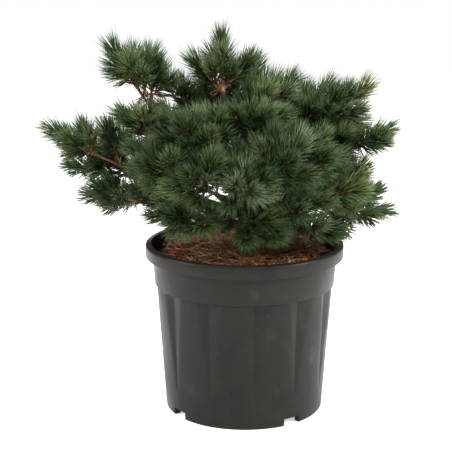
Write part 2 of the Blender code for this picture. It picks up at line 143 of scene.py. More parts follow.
def wheel_of(angle):
    """Unit vectors in the level plane, at these angles from +X."""
    return np.stack([np.cos(angle), np.sin(angle), 0 * angle], axis=-1)


# %% Camera
FOCAL, SENSOR = 94.54, 36.0
EYE = (0.0, -1.862, 0.734)
PITCH_DOWN, PAN = 13.18, -0.92  # degrees below level, and to the right

camera = bpy.data.objects.new("camera", bpy.data.cameras.new("camera"))
camera.data.lens, camera.data.sensor_width = FOCAL, SENSOR
camera.location = EYE
camera.rotation_euler = (math.radians(90 - PITCH_DOWN), 0, math.radians(-PAN))
bpy.context.scene.collection.objects.link(camera)
bpy.context.scene.camera = camera
bpy.context.scene.view_settings.view_transform = "Standard"

# %% Floor
FLOOR_MIDDLE, FLOOR_REACH, FLOOR_SIDES = 0.02, 5.0, 64
PAPER = (0.92, 0.92, 0.92, 1)
GLOW_FROM, GLOW_TO, GLOW_NEAR = 0.35, 1.2, 0.55  # where the glow starts to grow, where it is full, its start


def pale_paper():
    """Dull white paper whose glow is a smooth step of the distance from the pot."""
    made = bpy.data.materials.new("pale paper")
    made.use_nodes = True
    tree = made.node_tree
    shader = tree.nodes["Principled BSDF"]
    plain = {"Base Color": PAPER, "Roughness": 0.9, "Specular IOR Level": 0.0, "Emission Color": WHITE}
    for key, value in plain.items():
        shader.inputs[key].default_value = value
    where = node(tree, "ShaderNodeTexCoord").outputs["Object"]
    away = node(tree, "ShaderNodeVectorMath", {"operation": "LENGTH"}, Vector=where).outputs["Value"]
    ends = {"From_Min": GLOW_FROM, "From_Max": GLOW_TO, "To_Min": GLOW_NEAR}
    glow = node(tree, "ShaderNodeMapRange", {"interpolation_type": "SMOOTHSTEP"}, Value=away, **ends)
    tree.links.new(glow.outputs["Result"], shader.inputs["Emission Strength"])
    return made


disc = wheel_of(turns(FLOOR_SIDES))
disc_points = np.concatenate([disc * FLOOR_MIDDLE, disc * FLOOR_REACH])
floor = linked("floor", mesh_of("floor", disc_points, lattice(2, FLOOR_SIDES)[:, ::-1]), [pale_paper()])

# %% Lamps
# Each lamp: its place, the height on the pot's axis that it is turned to, its width and its power in watts.
LAMPS = {
    "right": ((2.3, -0.7, 1.5), 0.3, 0.7, 80),
    "left": ((-2.2, -0.6, 1.4), 0.3, 0.7, 46),
    "front": ((0.5, -2.1, 2.2), 0.4, 0.8, 22),
    "top": ((0.1, 0.2, 2.4), 0.3, 1.0, 36),
    "back": ((-0.4, 2.3, 1.8), 0.3, 0.8, 30),
}
WORLD_LIGHT = 0.20

for name, (place_at, aim, wide, power) in LAMPS.items():
    soft_box = bpy.data.objects.new(name, bpy.data.lights.new(name, "AREA"))
    soft_box.data.size, soft_box.data.energy = wide, power
    soft_box.location = place_at
    towards = np.array([0, 0, aim]) - place_at
    level = math.hypot(towards[0], towards[1])
    soft_box.rotation_euler = (math.atan2(level, -towards[2]), 0, math.atan2(-towards[0], towards[1]))
    bpy.context.scene.collection.objects.link(soft_box)

world = bpy.data.worlds.new("studio")
world.use_nodes = True
sky = world.node_tree
either = node(sky, "ShaderNodeMixShader", Fac=node(sky, "ShaderNodeLightPath").outputs["Is Camera Ray"])
for socket, strength in ((1, WORLD_LIGHT), (2, 1.0)):
    glow = node(sky, "ShaderNodeBackground", Color=WHITE, Strength=strength)
    sky.links.new(glow.outputs["Background"], either.inputs[socket])
sky.links.new(either.outputs["Shader"], sky.nodes["World Output"].inputs["Surface"])
bpy.context.scene.world = world

# %% [markdown]
# ## Finishes
# Every finish is a Principled shader whose colour, roughness and bump come from noise on Object coordinates,
# so that nothing slides when the view moves. A small kit of functions adds the nodes, and most return the
# socket that the next one reads. An image texture would tie the finish to one view of one plant.

# %% The finish kit
def grain(tree, size, stretch=(1, 1, 1), detail=4.0):
    """Noise whose cells are about this many metres across, stretched by these factors along X, Y and Z."""
    where = node(tree, "ShaderNodeTexCoord").outputs["Object"]
    shrunk = tuple(1 / s for s in stretch)
    scaled = node(tree, "ShaderNodeMapping", Vector=where, Scale=shrunk).outputs["Vector"]
    return node(tree, "ShaderNodeTexNoise", Vector=scaled, Scale=1 / size, Detail=detail).outputs["Fac"]


def blend_colours(tree, factor, dark, pale, ends):
    """A colour ramp over the factor, dark at the first end and pale at the second."""
    ramp = node(tree, "ShaderNodeValToRGB", Fac=factor)
    for stop, place_at, colour in zip(ramp.color_ramp.elements, ends, (dark, pale)):
        stop.position, stop.color = place_at, (*colour, 1)
    return ramp.outputs["Color"]


def span(tree, factor, low, high, start=0.3, end=0.7):
    """The factor's stretch from start to end, spread over low to high."""
    ends = {"From_Min": start, "From_Max": end, "To_Min": low, "To_Max": high}
    return node(tree, "ShaderNodeMapRange", Value=factor, **ends).outputs["Result"]


def finish(name, dark, pale, size, ends=(0.3, 0.7), rough=(0.5, 0.8), stretch=(1, 1, 1), relief=0.0001,
           fine=0.25, gloss=0.5):
    """A material: colour from stretched noise between dark and pale, roughness from it too, and a bump of
    this height from a noise a fraction as large."""
    made = bpy.data.materials.new(name)
    made.use_nodes = True
    tree = made.node_tree
    shader = tree.nodes["Principled BSDF"]
    pattern = grain(tree, size, stretch)
    tree.links.new(blend_colours(tree, pattern, dark, pale, ends), shader.inputs["Base Color"])
    tree.links.new(span(tree, pattern, *rough), shader.inputs["Roughness"])
    height = grain(tree, size * fine, stretch, 6.0)
    bump = node(tree, "ShaderNodeBump", Height=height, Strength=1.0, Distance=relief)
    tree.links.new(bump.outputs["Normal"], shader.inputs["Normal"])
    shader.inputs["Specular IOR Level"].default_value = gloss
    return made


# %% [markdown]
# ## The pot's plastic
# A used nursery pot is a warm dark grey, with broad dull clouds, faint level hairlines from turning against
# other pots, and small scuffs. Each mark is its own noise, cut by a threshold: round cells make clouds and
# scuffs, and cells stretched round the pot make hairlines.

# %% Plastic
SCUFFED = (0.30, 0.28, 0.25, 1)
MIX_A, MIX_B, MIX_OUT = 6, 7, 2  # the colour sockets of a Mix node
# Each mark: size, stretch and detail of its noise, where that starts to show and is full, and its strength.
MARKS = (
    (0.030, (1.0, 1.0, 1.3), 5.0, 0.60, 0.85, 0.06),
    (0.0016, (16.0, 16.0, 0.6), 2.0, 0.60, 0.72, 0.03),
    (0.0060, (1.6, 1.6, 1.0), 5.0, 0.70, 0.80, 0.16),
)


def pot_plastic():
    """Dark grey plastic of uneven gloss, with each mark's cover mixed over its colour in turn."""
    made = finish("pot plastic", (0.010, 0.0087, 0.0064), (0.020, 0.0170, 0.0128), 0.045, (0.25, 0.8),
                  rough=(0.34, 0.48), relief=0.00008, fine=0.03, gloss=0.15)
    tree = made.node_tree
    shader = tree.nodes["Principled BSDF"]
    body = shader.inputs["Base Color"].links[0].from_socket
    for size, stretch, detail, start, full, most in MARKS:
        cover = span(tree, grain(tree, size, stretch, detail), 0.0, most, start, full)
        mixed = node(tree, "ShaderNodeMix", {"data_type": "RGBA"}, Factor=cover)
        tree.links.new(body, mixed.inputs[MIX_A])
        mixed.inputs[MIX_B].default_value = SCUFFED
        body = mixed.outputs[MIX_OUT]
    tree.links.new(body, shader.inputs["Base Color"])
    return made


PLASTIC = pot_plastic()
BARK = finish("bark", (0.045, 0.030, 0.022), (0.24, 0.165, 0.11), 0.006,
              rough=(0.8, 0.95), stretch=(1, 1, 2.2), relief=0.0012)
TWIG = finish("twig bark", (0.085, 0.036, 0.016), (0.32, 0.135, 0.050), 0.005, (0.30, 0.72),
              rough=(0.65, 0.9), relief=0.0004)
FRESH = finish("fresh twig bark", (0.55, 0.27, 0.11), (0.85, 0.56, 0.33), 0.005, (0.30, 0.72),
               rough=(0.5, 0.75), relief=0.0002)
BUD = finish("bud scales", (0.26, 0.085, 0.025), (0.62, 0.28, 0.10), 0.002, (0.32, 0.70),
             rough=(0.45, 0.7), relief=0.0004)
EARTH = finish("potting soil", (0.012, 0.007, 0.005), (0.070, 0.030, 0.014), 0.008, (0.30, 0.72),
               rough=(0.85, 1.0), relief=0.002)

# %% [markdown]
# A needle of this pine has three flat sides. The outer one is green and the two inner ones carry a paler
# band. So a needle takes two finishes, by side, and each spray takes one of several pairs.

# %% Needle finishes
NEEDLE_GRAIN = 0.02
SHADE = 0.72  # the darker end of a needle's colour


def needle_pair(name, green, band):
    """The outer side's green and the inner sides' paler band, each a little uneven."""
    sides = []
    for part, colour in (("green", green), ("band", band)):
        dark = tuple(c * SHADE for c in colour)
        sides.append(finish(f"{name} {part}", dark, colour, NEEDLE_GRAIN, rough=(0.42, 0.6), gloss=0.22))
    return sides


TINTS = {
    tint: needle_pair(f"{tint} needle", green, band)
    for tint, green, band in (
        ("deep", (0.022, 0.048, 0.010), (0.036, 0.068, 0.020)),
        ("dark", (0.030, 0.063, 0.014), (0.054, 0.092, 0.030)),
        ("mid", (0.044, 0.084, 0.018), (0.082, 0.126, 0.044)),
        ("silver", (0.042, 0.078, 0.022), (0.150, 0.195, 0.100)),
        ("light", (0.078, 0.124, 0.026), (0.140, 0.185, 0.066)),
    )
}
TINT_SHARES = (0.22, 0.27, 0.24, 0.16, 0.11)
DEAD = {
    kind: finish(f"{kind} needle", dark, pale, NEEDLE_GRAIN)
    for kind, dark, pale in (
        ("rust", (0.28, 0.085, 0.018), (0.50, 0.19, 0.050)),
        ("tan", (0.45, 0.24, 0.10), (0.66, 0.40, 0.19)),
        ("brown", (0.06, 0.024, 0.010), (0.15, 0.060, 0.022)),
    )
}

# %% [markdown]
# ## Shapes from two parameters
# Most of what follows is a tube: a path, a radius along it and a number of sides. The two directions square
# to the path are cross products of its tangent with a fixed one, for all rings at once. A smooth random field
# roughens bark and soil: random values at the corners of cells, blended inside each cell.

# %% Tubes and a random field
UP, LEVEL = np.array([0.0, 0.0, 1.0]), np.array([0.35, 0.94, 0.0])
STEEP = 0.93
CELLS = 32  # cells of the field along each direction, after which it repeats
FIELD = np.random.default_rng(5).uniform(-1, 1, (CELLS, CELLS, CELLS))


def unit(vectors):
    """The same directions at length one."""
    return vectors / np.linalg.norm(vectors, axis=-1, keepdims=True)


def spun(angle, first, second):
    """The direction first * cos angle + second * sin angle, for every angle and pair of directions."""
    return np.cos(angle)[..., None] * first + np.sin(angle)[..., None] * second


def field(points, size):
    """At each point, the blend of the random values at its cell's eight corners, with weights 3t^2 - 2t^3."""
    cell = np.asarray(points) / size
    low = np.floor(cell).astype(int)
    part = cell - low
    part = part * part * (3 - 2 * part)
    total = np.zeros(cell.shape[:-1])
    for corner in np.ndindex(2, 2, 2):
        weight = np.prod(np.where(corner, part, 1 - part), axis=-1)
        spot = (low + corner) % CELLS
        total += weight * FIELD[spot[..., 0], spot[..., 1], spot[..., 2]]
    return total


def tube_points(path, radii, sides):
    """Rings round a path: centre + radius * a direction square to the path, as an array (rings, sides, 3).
    The fixed direction is up, or a level one where the path is steep."""
    tangent = unit(np.gradient(path, axis=0))
    side = unit(np.cross(tangent, UP if abs(tangent[:, 2]).max() < STEEP else LEVEL))
    wheel = spun(turns(sides)[None], side[:, None], np.cross(side, tangent)[:, None])
    return path[:, None] + np.asarray(radii).reshape(len(path), -1, 1) * wheel


def closed_tube(rings):
    """Points and triangles of a tube with a middle point on either end, its faces turned outwards."""
    count, sides, _ = rings.shape
    points = np.vstack([rings.reshape(-1, 3), rings[0].mean(0), rings[-1].mean(0)])
    quads = lattice(count, sides)
    ring = np.arange(sides)
    after = (ring + 1) % sides
    start = np.stack([np.full(sides, count * sides), after, ring], 1)
    last = (count - 1) * sides
    end = np.stack([np.full(sides, count * sides + 1), last + ring, last + after], 1)
    return points, np.vstack([quads[:, [0, 1, 2]], quads[:, [0, 2, 3]], start, end])


def read_path(path, places):
    """A path's points at these places, where 0 is its first point, 1 its last and the rest lie evenly."""
    known = np.linspace(0, 1, len(path))
    return np.stack([np.interp(places, known, path[:, k]) for k in range(3)], axis=1)


def gathered(parts):
    """Several (points, triangles) as one."""
    sizes = np.cumsum([0] + [len(points) for points, _ in parts[:-1]])
    faces = [triangles + size for (_, triangles), size in zip(parts, sizes)]
    return np.vstack([points for points, _ in parts]), np.vstack(faces)


# %% [markdown]
# ## The pot
# The real pot is blow moulded: one wall, drawn in along twelve V-shaped grooves that widen upwards, with a
# short collar above them and a thick rolled rim. It could be a Screw of a profile with grooves cut by
# Booleans. A grid is cleaner: rows are levels of the profile, and columns slide sideways with height so that
# they always lie on a groove's fold and edges.

# %% Pot sizes
POT_HEIGHT = 0.2735
RIM_RADIUS = 0.160
RIM_BAND = 0.0215  # height of the turned-out rim
RIM_LIP = 0.1503  # radius of the rim's inner edge
COLLAR_RADIUS = 0.1488  # just under the rim
COLLAR_FOOT_RADIUS = 0.1450
COLLAR_FOOT = 0.2068  # height of the collar's lower edge
BODY_RADIUS = 0.1426  # under the collar
FOOT_RADIUS = 0.1280
WALL = 0.0028
EDGE = 0.0012  # the moulding's small edge roundings
RIM_ROUND = 0.0052  # the rim's rounded shoulder
FLOOR = 0.018  # top of the pot's floor
CHANNEL_INNER, CHANNEL_OUTER = 0.086, 0.117  # drain channel in the underside
CHANNEL_HEIGHT = 0.0142

GROOVES = 12
PITCH = 360 / GROOVES
FIRST_FOLD = 6.4  # bearing of one groove's fold line
GROOVE_LEFT, GROOVE_RIGHT = 7.0, 10.3  # degrees from the fold line to the groove's edges, at the top
GROOVE_DEPTH = 0.0052
GROOVE_FOOT = 0.040  # height at which a groove runs out
GROOVE_TOP = COLLAR_FOOT - 0.002
NARROWEST = 0.25  # a groove's edges close up to this share of their width

NOTCHES = 4
FIRST_NOTCH = 36.4  # bearing
NOTCH_WIDTH = 0.030
NOTCH_HEIGHT = 0.0118
NOTCH_DEEP, NOTCH_OUT = 0.030, 0.002  # depth of its cutter, and how far that stands out of the foot's middle
BOX_SIDES = ((0, 1, 3, 2), (4, 6, 7, 5), (0, 4, 5, 1), (2, 3, 7, 6), (0, 2, 6, 4), (1, 5, 7, 3))
CREASE = 24  # degrees past which an edge of the pot is drawn sharp
STEPS = (4, 5, 7)  # columns from a groove's left edge to its fold, its right edge and the next groove
WALL_ROWS, BEND_ROWS, INNER_ROWS = 28, 7, 8  # rows up the wall, round the rim's shoulder and down the inside


def groove_columns():
    """For each column of one pitch: how much of the left width, the right width and the pitch its bearing
    takes, and how deep it lies in the V."""
    t1, t2, t3 = (np.arange(n) / n for n in STEPS)
    n1, n2, n3 = (np.zeros(n) for n in STEPS)
    stretches = ((t1 - 1, n2, -t3), (n1, t2, 1 - t3), (n1, n2, t3), (t1, 1 - t2, n3))
    return [np.concatenate(each) for each in stretches]


def pot_profile():
    """Rows of radius, height and whether the row is grooved, round the wall's section: underside, outside,
    rim and inside. The wall's radius grows evenly with height from the foot to the collar."""

    def wall(height):
        return FOOT_RADIUS + (BODY_RADIUS - FOOT_RADIUS) * height / GROOVE_TOP

    rim_foot = POT_HEIGHT - RIM_BAND
    rows = [(CHANNEL_INNER, 0, 0), (CHANNEL_INNER, CHANNEL_HEIGHT, 0), (CHANNEL_OUTER, CHANNEL_HEIGHT, 0),
            (CHANNEL_OUTER, 0, 0), (FOOT_RADIUS - EDGE, 0, 0), (FOOT_RADIUS - 0.3 * EDGE, 0.3 * EDGE, 0),
            (FOOT_RADIUS, EDGE, 0)]
    rows += [(wall(h), h, 1) for h in np.linspace(GROOVE_FOOT, GROOVE_TOP, WALL_ROWS)]
    rows += [(COLLAR_FOOT_RADIUS, COLLAR_FOOT, 0), (COLLAR_FOOT_RADIUS + 0.0004, COLLAR_FOOT + 0.001, 0)]
    rows += [(COLLAR_RADIUS, rim_foot - 0.0004, 0), (COLLAR_RADIUS + 0.0006, rim_foot, 0)]
    rows += [(RIM_RADIUS - EDGE, rim_foot, 0), (RIM_RADIUS - 0.3 * EDGE, rim_foot + 0.3 * EDGE, 0)]
    rows += [(RIM_RADIUS, rim_foot + EDGE, 0)]
    centre, middle = RIM_RADIUS - RIM_ROUND, POT_HEIGHT - RIM_ROUND
    bend = np.linspace(0, math.pi / 2, BEND_ROWS)
    rows += [(centre + RIM_ROUND * math.cos(a), middle + RIM_ROUND * math.sin(a), 0) for a in bend]
    rows += [(RIM_LIP + 0.001, POT_HEIGHT - 0.0002, 0), (RIM_LIP, POT_HEIGHT - EDGE, 0)]
    rows += [(COLLAR_RADIUS - WALL, rim_foot, 0)]
    rows += [(wall(h) - WALL, h, 1) for h in np.linspace(GROOVE_TOP - WALL, GROOVE_FOOT, INNER_ROWS)]
    rows += [(wall(FLOOR) - WALL, FLOOR, 0)]
    return np.array(rows, float)


def pot_points():
    """The grid: bearing = fold + left share * left width + right share * right width + pitch share * pitch,
    and radius = profile - depth in the V * groove depth at this height."""
    left, right, pitch, depth = (np.tile(each, GROOVES) for each in groove_columns())
    folds = FIRST_FOLD + np.repeat(np.arange(GROOVES), sum(STEPS)) * PITCH
    radius, height, grooved = (column[:, None] for column in pot_profile().T)
    share = np.clip((height - GROOVE_FOOT) / (GROOVE_TOP - GROOVE_FOOT), 0, 1) * grooved
    wide = np.where(grooved > 0, np.maximum(share, NARROWEST), 1.0)
    bearing = np.radians(folds + left * GROOVE_LEFT * wide + right * GROOVE_RIGHT * wide + pitch * PITCH)
    reach = radius - depth * share * GROOVE_DEPTH
    return np.stack([reach * np.sin(bearing), -reach * np.cos(bearing), height + 0 * bearing], axis=-1)


def notch_cutters():
    """Four boxes that cut the drain notches out of the foot."""
    boxes = bpy.data.collections.new("notches")
    bpy.context.scene.collection.children.link(boxes)
    corners = np.array(list(np.ndindex(2, 2, 2))) - 0.5
    for bearing in FIRST_NOTCH + np.arange(NOTCHES) * 360 / NOTCHES:
        box = corners * (NOTCH_WIDTH, NOTCH_DEEP, 2 * NOTCH_HEIGHT)
        box[:, 1] -= (CHANNEL_OUTER + FOOT_RADIUS) / 2 + NOTCH_OUT
        a = math.radians(bearing)
        turned = np.array([[math.cos(a), math.sin(a), 0], [-math.sin(a), math.cos(a), 0], [0, 0, 1]])
        cutter = bpy.data.objects.new("notch", mesh_of("notch", box @ turned, BOX_SIDES))
        boxes.objects.link(cutter)
    return boxes


def outwards(mesh):
    """The same mesh with its doubles merged and its faces turned outwards."""
    work = bmesh.new()
    work.from_mesh(mesh)
    bmesh.ops.remove_doubles(work, verts=work.verts, dist=1e-6)
    bmesh.ops.recalc_face_normals(work, faces=work.faces)
    work.to_mesh(mesh)
    work.free()


# %% The pot
grid = pot_points()
rows, columns, _ = grid.shape
mouth = [list(range(columns))[::-1], list(range((rows - 1) * columns, rows * columns))]
shell = bpy.data.meshes.new("pot_shell")
shell.from_pydata(grid.reshape(-1, 3), [], lattice(rows, columns).tolist() + mouth)
outwards(shell)
pot = linked("pot_shell", shell, [PLASTIC])
cutters = notch_cutters()
for cutter in cutters.objects:
    outwards(cutter.data)
cut = pot.modifiers.new("notches", "BOOLEAN")
cut.operation, cut.operand_type, cut.collection, cut.solver = "DIFFERENCE", "COLLECTION", cutters, "EXACT"
bpy.context.view_layer.update()
notched = bpy.data.meshes.new_from_object(pot.evaluated_get(bpy.context.evaluated_depsgraph_get()))
pot.modifiers.clear()
pot.data = notched
for cutter in list(cutters.objects):
    bpy.data.objects.remove(cutter)
bpy.data.collections.remove(cutters)
pot.data.shade_smooth()
pot.data.set_sharp_from_angle(angle=math.radians(CREASE))
fitted(pot, ["pot"])
print("pot:", len(pot.data.polygons), "faces after the notches")

# %% [markdown]
# ## Needles
# A needle is a slim three-sided spike: a ring at its foot, a ring past its middle and a point. It bends a
# little. All needles of a piece are worked out at once: their feet, directions, lengths and widths are
# arrays, and ten triangles are repeated for each.

# %% Needle meshes
NEEDLE_WIDTH = 0.00120
WAIST = 0.6  # where along a needle its second ring lies
FOOT_SHARE = 0.9  # a needle's width at its foot, as a share of its full width
NEEDLE_EDGES = np.radians([[60, 180, 300]])  # angles of its three edges round it, from its outer side
NEEDLE_POINTS = 7
NEEDLE_FACES = np.array([(0, 2, 1), (0, 1, 4), (0, 4, 3), (1, 2, 5), (1, 5, 4), (2, 0, 3), (2, 3, 5),
                         (3, 4, 6), (4, 5, 6), (5, 3, 6)])
NEEDLE_SIDES = np.array([1, 1, 1, 1, 1, 0, 0, 1, 1, 0])  # 0 on the outer side, 1 on the two inner ones


def needle_arrays(foot, heading, outer, length, width, bend):
    """Points and triangles of many needles. A point at share t of a needle lies at
    foot + heading * length * t + bend * length * t^2, and a ring's corners lie half the width from there."""
    heading = unit(heading)
    outer = unit(outer - heading * (outer * heading).sum(1, keepdims=True))
    wheel = spun(NEEDLE_EDGES, outer[:, None], np.cross(heading, outer)[:, None])
    half = (width / 2)[:, None, None]

    def middle(t):
        return (foot + heading * (length * t)[:, None] + bend * (length * t * t)[:, None])[:, None]

    points = np.concatenate(
        [middle(0.0) + wheel * half * FOOT_SHARE, middle(WAIST) + wheel * half, middle(1.0)], axis=1
    )
    faces = NEEDLE_FACES[None] + (np.arange(len(foot)) * NEEDLE_POINTS)[:, None, None]
    return points.reshape(-1, 3), faces.reshape(-1, 3)


def needle_piece(name, needles, finishes):
    """One piece of many needles, its sides' finishes dealt out by face."""
    made_of = [np.concatenate([each[k] for each in needles]) for k in range(6)]
    points, faces = needle_arrays(*made_of)
    made = linked(name, mesh_of(name, points, faces), finishes)
    if len(finishes) > 1:
        dealt = np.tile(NEEDLE_SIDES, len(made_of[0])).astype(np.int32)
        made.data.polygons.foreach_set("material_index", dealt)
    return fitted(made)


# %% [markdown]
# ## The soil and its litter
# The pot is filled to about two centimetres under its rim. Years of shed needles lie on the dark substrate,
# tangled and thickest at the left and the right. The bed is a polar grid lifted by the random field, and the
# litter is loose needles dropped on it at random headings.

# %% Soil sizes
SOIL_TOP = 0.2545
SOIL_EDGE = 0.2500  # height where it meets the wall
HEAP = 0.0035  # how much the needle litter is heaped to the left and right
LUMPS = ((0.0016, 0.014, 0), (0.0007, 0.005, 3))  # height and size of its lumps, and a shift of the field
LITTER = {"rust": 1150, "tan": 575, "brown": 575}
LITTER_WIDTH, LITTER_LONG = 0.0014, (0.016, 0.034)
LITTER_TILT, LITTER_BEND = 0.26, 0.12
LITTER_INSET = 0.018  # how far the middle of each needle stays from the bed's edge
LITTER_DEEP = (0.005, 0.014)  # how far up it lies at the front and back, and at the heaps
BED_ROWS, BED_COLUMNS = 60, 160
BED_EDGE = COLLAR_RADIUS - WALL - 0.0016
SKIRT, SKIRT_SHARE = 0.010, 0.985  # how far down the bed's edge goes, and how far it draws in


def soil_height(x, y):
    """Height of the bed: level in the middle, sinking to the wall, heaped left and right, and lumpy."""
    reach = np.hypot(x, y) / (COLLAR_RADIUS - WALL)
    side = np.divide(x, np.hypot(x, y) + 1e-9) ** 2
    middle = SOIL_TOP - (SOIL_TOP - SOIL_EDGE) * np.clip((reach - 0.7) / 0.3, 0, 1)
    heaped = HEAP * side * np.sin(np.clip(reach, 0, 1) * math.pi)
    where = np.stack([x, y, np.zeros_like(x)], axis=-1)
    return middle + heaped + sum(high * field(where + shift, size) for high, size, shift in LUMPS)


# %% The soil bed
share = np.sqrt(np.linspace(0.0004, 1, BED_ROWS))[:, None]
angle = turns(BED_COLUMNS)[None]
x, y = share * BED_EDGE * np.cos(angle), share * BED_EDGE * np.sin(angle)
top = np.stack([x, y, soil_height(x, y)], axis=-1)
skirt = top[-1:] * (SKIRT_SHARE, SKIRT_SHARE, 1.0) - UP * SKIRT
bed = closed_tube(np.concatenate([top, skirt])[::-1])
outwards(smooth_piece("soil_bed", bed, EARTH, ["soil"]).data)

# %% The litter
scatter = np.random.default_rng(21)
for kind, count in LITTER.items():
    around = scatter.uniform(0, 2 * math.pi, count)
    reach = (BED_EDGE - LITTER_INSET) * np.sqrt(scatter.uniform(0, 1, count))
    x, y = reach * np.cos(around), reach * np.sin(around)
    deep = LITTER_DEEP[0] + (LITTER_DEEP[1] - LITTER_DEEP[0]) * np.cos(around) ** 2
    z = soil_height(x, y) + 0.0005 + deep * scatter.uniform(0, 1, count) ** 1.6
    headed = scatter.uniform(0, 2 * math.pi, count)
    heading = np.stack([np.cos(headed), np.sin(headed), scatter.normal(0, LITTER_TILT, count)], axis=1)
    length = scatter.uniform(*LITTER_LONG, count)
    foot = np.stack([x, y, z], axis=1) - unit(heading) * (length / 2)[:, None]
    bend = scatter.normal(0, LITTER_BEND, (count, 3)) * (1, 1, 0.2)
    outer = np.tile(UP, (count, 1))
    lot = (foot, heading, outer, length, np.full(count, LITTER_WIDTH), bend)
    needle_piece(f"litter_{kind}", [lot], [DEAD[kind]])

# %% [markdown]
# ## Where the wood goes
# The trunk's axis is a straight lean with a bow in its middle. A limb is a curve of one bend from the trunk
# to its lead bud, thicker the longer it is. These rules and sizes are the frame's own, so the bark follows
# the solids.

# %% Trunk and limb rules
GAP = 0.0003  # clearance between two solids of the frame that touch
TRUNK_FOOT = np.array([0.004, 0.006, SOIL_TOP + GAP])
TRUNK_TIP = np.array([-0.036, 0.0, 0.514])
TRUNK_BOW, BOW_FORWARD = 0.010, 0.4  # sideways bow of its middle, and the share of it that is forwards too
TRUNK_RADIUS, TRUNK_TIP_RADIUS = 0.0115, 0.0046
FLARE, FLARE_HEIGHT = 0.0075, 0.010  # root flare: extra radius at the soil, and how fast it dies away
FLARE_ROOTS = 5
LIMB_RADIUS, LIMB_GROWTH = 0.0020, 0.0110  # a limb's radius at the trunk: a base, plus a share of its length
TWIG_RADIUS = 0.0016
LIMB_BEND = 0.45  # share of a limb's length over which it turns to its final direction


def place(bearing, reach, height):
    """The point at this bearing, distance from the upright axis and height."""
    angle = math.radians(bearing)
    return np.array([reach * math.sin(angle), -reach * math.cos(angle), height])


def trunk_share(height):
    """How far up the trunk a height is, 0 at its foot and 1 at its tip."""
    return (height - TRUNK_FOOT[2]) / (TRUNK_TIP[2] - TRUNK_FOOT[2])


def trunk_centre(height):
    """The trunk's axis at this height: a straight lean with a bow to the right in its middle."""
    share = trunk_share(height)
    bow = TRUNK_BOW * math.sin(math.pi * share)
    return TRUNK_FOOT + (TRUNK_TIP - TRUNK_FOOT) * share + np.array([bow, -bow * BOW_FORWARD, 0])


def trunk_radius(height):
    """An even taper from foot to tip."""
    return TRUNK_RADIUS + (TRUNK_TIP_RADIUS - TRUNK_RADIUS) * trunk_share(height)


def flare(height):
    """How far the root flare spreads at this height, without its roots' ridges."""
    return FLARE * np.exp(-(height - TRUNK_FOOT[2]) / FLARE_HEIGHT)


def trunk_surface(height, turn):
    """The trunk's radius at this height and turn, with the flare of its roots."""
    return trunk_radius(height) + flare(height) * (1 + 0.5 * math.cos(FLARE_ROOTS * turn))


def limb_curve(row):
    """A limb's start, bend and end, the direction straight out of the trunk there, and its radius there."""
    bud = place(row.bearing, row.reach, row.height)
    axis = trunk_centre(row.leaves)
    trunk_rise = unit(trunk_centre(row.leaves + 0.01) - trunk_centre(row.leaves - 0.01))
    outward = bud - axis
    outward = unit(outward - trunk_rise * (outward @ trunk_rise))
    start = axis + outward * (trunk_surface(row.leaves, math.atan2(outward[1], outward[0])) + GAP)
    heading = unit(np.array([outward[0], outward[1], 0]))
    slope = math.radians(row.slope)
    final = heading * math.cos(slope) + UP * math.sin(slope)
    length = np.linalg.norm(bud - start)
    bend = bud - final * length * LIMB_BEND
    return start, bend, bud, outward, LIMB_RADIUS + LIMB_GROWTH * length


def limb_radius(root_radius, share):
    """A limb tapers from its root to the twig's thickness at its bud."""
    return TWIG_RADIUS + (root_radius - TWIG_RADIUS) * (1 - np.asarray(share)) ** 1.3


def bezier(start, bend, end, shares):
    """Points of the curve (1-t)^2 start + 2t(1-t) bend + t^2 end."""
    t = np.asarray(shares, float)[:, None]
    return (1 - t) ** 2 * start + 2 * t * (1 - t) * bend + t**2 * end


def path_length(path):
    """The sum of the lengths between its points."""
    return np.linalg.norm(np.diff(path, axis=0), axis=1).sum()


# %% [markdown]
# ## Bark
# Young white pine bark is thin, grey brown and finely scaly. The trunk is a grid in height and angle, and the
# size of a random field pushes it in, which leaves ridges. Boughs have the same relief on tubes, each with a
# swollen collar where it leaves the trunk.

# %% Trunk bark
BARK_DEEP = 0.0011
TRUNK_ROWS, TRUNK_COLUMNS = 260, 72
BOUGH_ROWS, BOUGH_SIDES = 46, 18
COLLAR_SWELL, COLLAR_LONG = 0.35, 0.006
ROOT_SHIFT = 0.003  # how far a bough's first ring is moved along its root, away from the trunk
BOUGH_LAP = 0.03  # share of its limb by which a bough's bark goes on past its end
TRUNK_SUNK = 0.006  # how far the trunk's bark goes into the soil


def ridges(points, deep):
    """Bark relief: deep * (0.35 - the size of a field stretched up the stem - half that of a finer one)."""
    tall = np.asarray(points) * (1, 1, 0.45)
    return deep * (0.35 - abs(field(tall, 0.0035)) - 0.5 * abs(field(tall + 1, 0.0016)))


rise = np.linspace(TRUNK_FOOT[2] - TRUNK_SUNK, TRUNK_TIP[2] + 2 * GAP, TRUNK_ROWS)
around = turns(TRUNK_COLUMNS)
centre = np.array([trunk_centre(h) for h in rise])
lean = np.clip(rise, TRUNK_FOOT[2], None)
thick = np.array([trunk_radius(h) for h in lean])[:, None]
flared = flare(lean)[:, None] * (1 + 0.5 * np.cos(FLARE_ROOTS * around))[None]
wheel = wheel_of(around)[None]
smooth_trunk = centre[:, None] + (thick + flared)[..., None] * wheel
relief = ridges(smooth_trunk, BARK_DEEP)
relief[-3:] = 0
trunk_rings = smooth_trunk + relief[..., None] * wheel
smooth_piece("trunk_bark", closed_tube(trunk_rings), BARK, ["trunk"])

